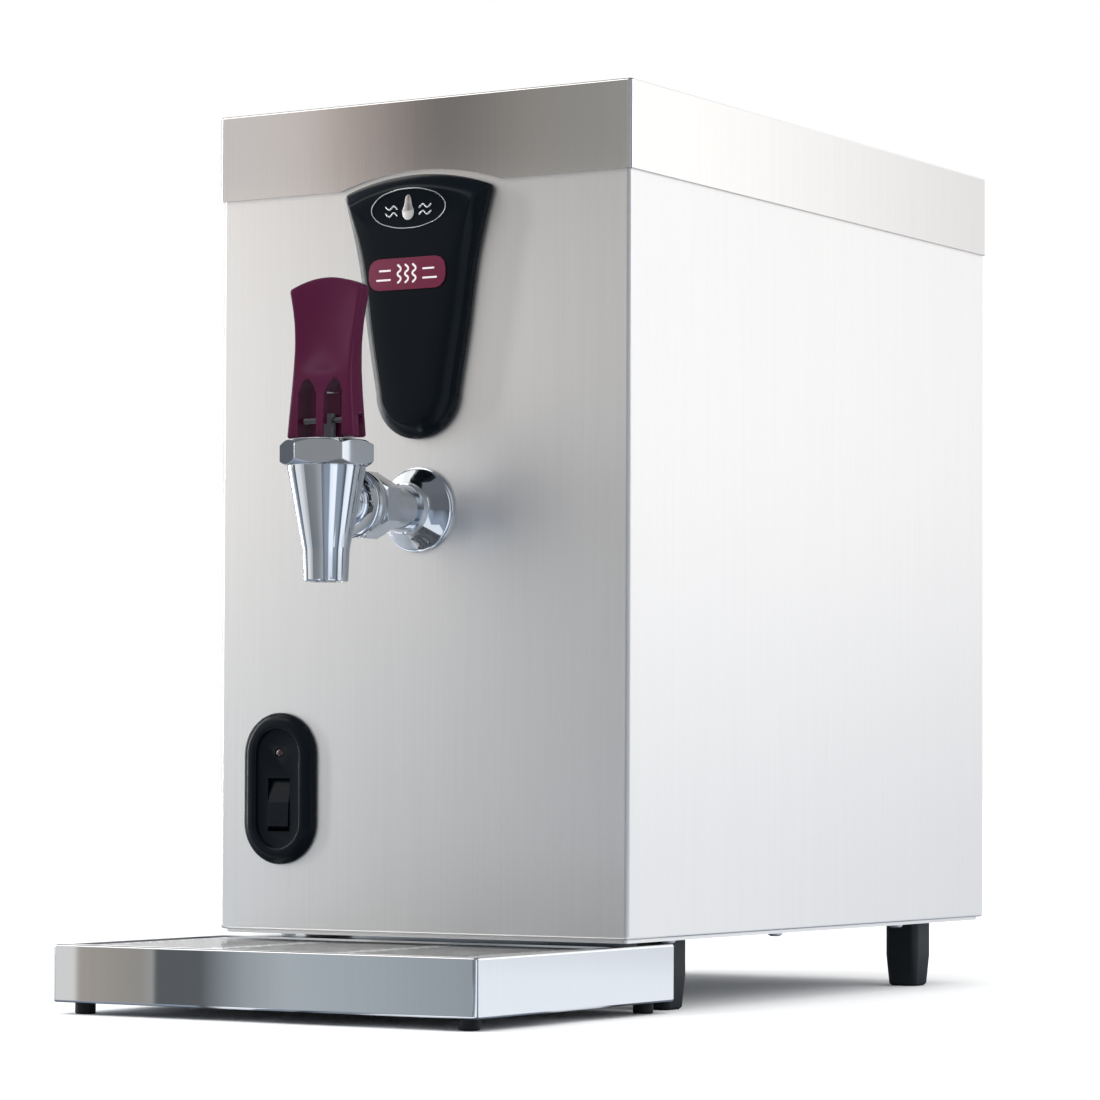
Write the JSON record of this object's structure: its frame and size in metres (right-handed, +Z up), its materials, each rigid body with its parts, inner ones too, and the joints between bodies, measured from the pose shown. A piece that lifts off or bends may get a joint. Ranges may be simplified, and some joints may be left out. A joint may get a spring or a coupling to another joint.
{
  "type": "countertop hot water dispenser",
  "caption": "Tall stainless countertop water boiler with a front lever tap, a lift-off lid, a rocker switch and a slide-out drip tray with a lift-out grille.",
  "frame": {"origin": "on the counter, at the middle of the footprint that runs from the drip tray's front edge to the end of the rear water fitting", "axes": "+Z up, the tap and the drip tray face -Y, +X is to the right seen from the front"},
  "size_m": [0.233, 0.522, 0.4295],
  "materials": {
    "brushed_panel": "brushed stainless steel sheet",
    "lid_steel": "polished stainless steel sheet",
    "tray_steel": "polished stainless steel sheet",
    "zinc_screw": "plain steel fixings",
    "black_rubber": "moulded black rubber",
    "black_gloss": "gloss black moulding",
    "black_matte": "matt black moulding",
    "silver_trim": "thin bright metal trim",
    "maroon_label": "printed plastic label",
    "maroon_handle": "maroon moulding",
    "chrome_tap": "chromium-plated brass",
    "brass_part": "plain brass",
    "spring_steel": "stainless rod and wire",
    "silicone": "translucent silicone rubber",
    "tank_steel": "dull stainless sheet",
    "insulation_foam": "grey insulating foam jacket",
    "lens_red": "smoked red lens",
    "outlet_plastic": "natural plastic",
    "board_green": "coated circuit board"
  },
  "bodies": {
    "housing": {"badge_cover": "black_gloss", "badge_emblem": "silver_trim", "badge_label": "maroon_label", "base_pan": "brushed_panel", "base_pan_screws": "zinc_screw", "board_components": "black_matte", "board_posts": "zinc_screw", "bracket_screws": "zinc_screw", "cable_gland": "black_matte", "circuit_board": "board_green", "drain_plug": "black_rubber", "element_gasket": "silicone", "fill_hose": "silicone", "foot_front_left": "black_rubber", "foot_front_right": "black_rubber", "foot_nuts": "zinc_screw", "foot_rear_left": "black_rubber", "foot_rear_right": "black_rubber", "front_tank_bracket": "tank_steel", "heating_element": "spring_steel", "hose_clamps": "zinc_screw", "indicator_lens": "lens_red", "inlet_valve": "black_matte", "level_probes": "spring_steel", "lid": "lid_steel", "outer_casing": "brushed_panel", "outlet_hose": "silicone", "overflow_outlet": "outlet_plastic", "overheat_cutout": "black_matte", "rear_panel": "brushed_panel", "rear_screws": "zinc_screw", "rear_tank_bracket": "tank_steel", "switch_bezel": "black_gloss", "switch_housing": "black_matte", "tank_gasket": "silicone", "tank_insulation": "insulation_foam", "tank_lid": "tank_steel", "tank_lid_screws": "zinc_screw", "tank_shell": "tank_steel", "tap_backnut": "brass_part", "tap_body": "chrome_tap", "tap_bonnet_gasket": "silicone", "tap_bonnet_nut": "chrome_tap", "tap_coupling_nut": "chrome_tap", "tap_panel_washer": "silicone", "tap_rose": "chrome_tap", "tap_shank": "chrome_tap", "tap_spring": "spring_steel", "temperature_probe": "spring_steel", "terminal_block": "black_matte", "valve_coil": "black_matte", "vent_hose": "silicone"},
    "tap_stem_group": {"tap_stem": "spring_steel", "tap_seat_cup": "silicone"},
    "tap_lever": {"tap_handle": "maroon_handle", "tap_handle_pin": "spring_steel"},
    "power_rocker": {"rocker_switch": "black_matte"},
    "drip_tray_group": {"drip_tray": "tray_steel", "tray_feet": "black_rubber"},
    "grille": {"tray_grille": "tray_steel"}
  },
  "joints": [
    {"name": "tap_stem_lift", "type": "slide", "parent": "housing", "child": "tap_stem_group", "axis": [0, 0, 1], "range_m": [0, 0.0028], "deforming": ["tap_spring"]},
    {"name": "tap_lever_tilt", "type": "hinge", "parent": "tap_stem_group", "child": "tap_lever", "pos_m": [0, -0.2095, 0.2712], "axis": [1, 0, 0], "range_deg": [0, 20], "stiffness_Nm_per_rad": 0.6, "springref_deg": -20.05},
    {"name": "power_rocker_tilt", "type": "hinge", "parent": "housing", "child": "power_rocker", "pos_m": [-0.0787, -0.129, 0.0952], "axis": [1, 0, 0], "range_deg": [0, 20]},
    {"name": "drip_tray_slide", "type": "slide", "parent": "housing", "child": "drip_tray_group", "axis": [0, -1, 0], "range_m": [0, 0.15]},
    {"name": "tray_grille_lift", "type": "slide", "parent": "drip_tray_group", "child": "grille", "axis": [0, 0, 1], "range_m": [0, 0.06]}
  ],
  "couplings": [
    {"joint": "tap_stem_lift", "follows": "tap_lever_tilt", "m_per_rad": 0.008}
  ]
}
